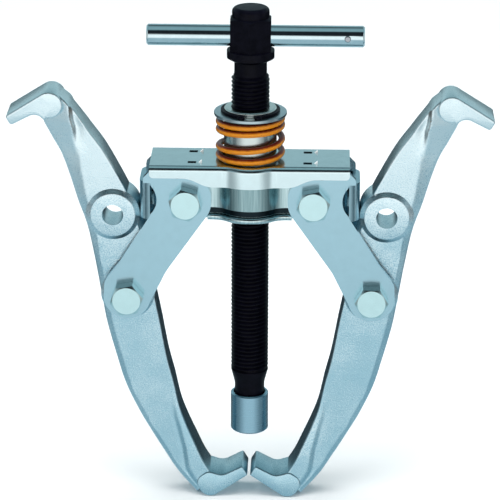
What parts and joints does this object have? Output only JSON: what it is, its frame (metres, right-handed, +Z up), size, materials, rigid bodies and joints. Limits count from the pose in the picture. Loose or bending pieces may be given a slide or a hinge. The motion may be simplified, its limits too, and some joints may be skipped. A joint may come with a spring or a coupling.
{
  "type": "gear puller",
  "caption": "Self-gripping two-jaw gear puller: forcing screw with sliding tee bar, spring-loaded yoke, hinged links and reversible double-ended forged arms.",
  "frame": {"origin": "centre of the pressure foot's working face", "axes": "+Z up the forcing screw towards the tee bar; X across the two jaws; pivot bolts along Y, heads at -Y"},
  "size_m": [0.2294, 0.0436, 0.2463],
  "materials": {
    "black_oxide": "black oxide, oiled satin",
    "bearing_steel": "polished hardened steel",
    "chrome_bar": "bright chrome",
    "satin_steel": "turned satin",
    "spring_steel": "satin",
    "turned_steel": "turned and polished",
    "zinc_plate": "zinc plated satin",
    "orange_paint": "semi-gloss orange coating",
    "pressed_plate": "bright nickel-chrome plate",
    "link_plate": "satin nickel-chrome plate",
    "forged_plate": "plated over a fine blasted forging skin",
    "fastener_plate": "bright zinc plate"
  },
  "bodies": {
    "yoke": {"yoke_upper_channel": "pressed_plate", "yoke_lower_channel": "pressed_plate", "nut_sleeve": "turned_steel", "sleeve_circlip": "black_oxide", "spring_washer": "zinc_plate", "jaw_spring": "orange_paint", "left_upper_bolt": "fastener_plate", "left_upper_nut": "fastener_plate", "right_upper_bolt": "fastener_plate", "right_upper_nut": "fastener_plate"},
    "cap": {"spring_cap": "pressed_plate"},
    "left_link": {"left_link": "link_plate", "left_lower_bolt": "fastener_plate", "left_lower_nut": "fastener_plate"},
    "right_link": {"right_link": "link_plate", "right_lower_bolt": "fastener_plate", "right_lower_nut": "fastener_plate"},
    "left_arm": {"left_arm": "forged_plate"},
    "right_arm": {"right_arm": "forged_plate"},
    "foot": {"pressure_foot": "satin_steel", "foot_snap_ring": "spring_steel"},
    "screw": {"centre_screw": "black_oxide", "thrust_ball": "bearing_steel"},
    "bar": {"tee_bar": "chrome_bar", "tee_bar_pins": "chrome_bar"}
  },
  "joints": [
    {"name": "left_link_swing", "type": "hinge", "parent": "yoke", "child": "left_link", "pos_m": [-0.0302, 0, 0.1213], "axis": [0, 1, 0], "range_deg": [0, 20]},
    {"name": "right_link_swing", "type": "hinge", "parent": "yoke", "child": "right_link", "pos_m": [0.0302, 0, 0.1213], "axis": [0, -1, 0], "range_deg": [0, 20]},
    {"name": "left_arm_swing", "type": "hinge", "parent": "left_link", "child": "left_arm", "pos_m": [-0.0584, 0, 0.073], "axis": [0, -1, 0], "range_deg": [0, 11]},
    {"name": "right_arm_swing", "type": "hinge", "parent": "right_link", "child": "right_arm", "pos_m": [0.0584, 0, 0.073], "axis": [0, 1, 0], "range_deg": [0, 11]},
    {"name": "cap_lift", "type": "slide", "parent": "yoke", "child": "cap", "axis": [0, 0, 1], "range_m": [0, 0.0042], "stiffness_N_per_m": 5560, "springref_m": -0.0084, "deforming": ["jaw_spring"]},
    {"name": "screw_feed", "type": "slide", "parent": "yoke", "child": "foot", "axis": [0, 0, 1], "range_m": [-0.0122, 0.0852]},
    {"name": "screw_turn", "type": "hinge", "parent": "foot", "child": "screw", "pos_m": [0, 0, 0], "axis": [0, 0, 1], "range_deg": [-2160, 15300]},
    {"name": "bar_slide", "type": "slide", "parent": "screw", "child": "bar", "axis": [1, 0, 0], "range_m": [-0.034, 0.029]}
  ],
  "couplings": [
    {"joint": "right_link_swing", "follows": "left_link_swing", "ratio": 1},
    {"joint": "left_arm_swing", "follows": "left_link_swing", "ratio": 0.55},
    {"joint": "right_arm_swing", "follows": "left_link_swing", "ratio": 0.55},
    {"joint": "cap_lift", "follows": "left_link_swing", "m_per_rad": 0.012},
    {"joint": "screw_feed", "follows": "screw_turn", "m_per_rad": 0.00031831}
  ]
}
